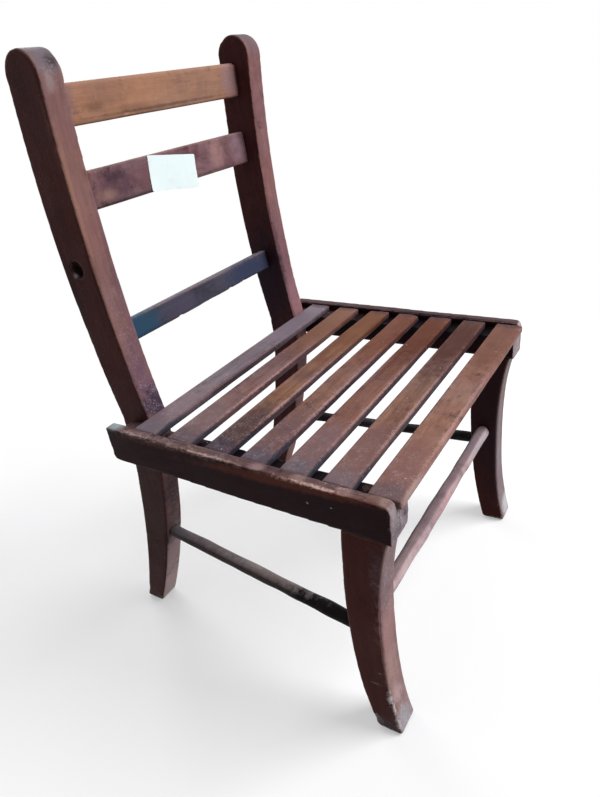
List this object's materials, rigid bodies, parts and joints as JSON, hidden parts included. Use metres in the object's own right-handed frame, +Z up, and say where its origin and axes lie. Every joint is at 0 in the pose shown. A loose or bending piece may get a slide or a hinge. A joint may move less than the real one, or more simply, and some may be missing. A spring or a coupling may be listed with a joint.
{
  "type": "slatted wooden chair",
  "caption": "Low-backed wooden chair with curved stiles that are back posts and rear legs in one, side rails, a slatted seat, curved front legs, back rails and round stretchers.",
  "frame": {"origin": "on the floor, under the middle of the chair's overall box", "axes": "+X towards the sitter's left, +Y towards the back of the chair, +Z up"},
  "size_m": [0.53, 0.5724, 0.8952],
  "materials": {
    "frame_wood": "dark, hand-worn",
    "slat_wood": "worn brown",
    "back_rail_wood": "worn brown with old varnish",
    "stretcher_wood": "dull, bare on top",
    "nail_steel": "darkened",
    "label_paper": "matte paper"
  },
  "bodies": {
    "root": {"back_rail_lower": "back_rail_wood", "back_rail_middle": "back_rail_wood", "back_rail_top": "back_rail_wood", "front_leg_left": "frame_wood", "front_leg_right": "frame_wood", "front_stretcher": "stretcher_wood", "paper_label": "label_paper", "rail_dowels": "frame_wood", "side_rail_left": "frame_wood", "side_rail_right": "frame_wood", "side_stretcher_left": "stretcher_wood", "side_stretcher_right": "stretcher_wood", "slat_1": "slat_wood", "slat_2": "slat_wood", "slat_3": "slat_wood", "slat_4": "slat_wood", "slat_5": "slat_wood", "slat_6": "slat_wood", "slat_7": "slat_wood", "slat_nails": "nail_steel", "stile_left": "frame_wood", "stile_right": "frame_wood"}
  },
  "joints": []
}
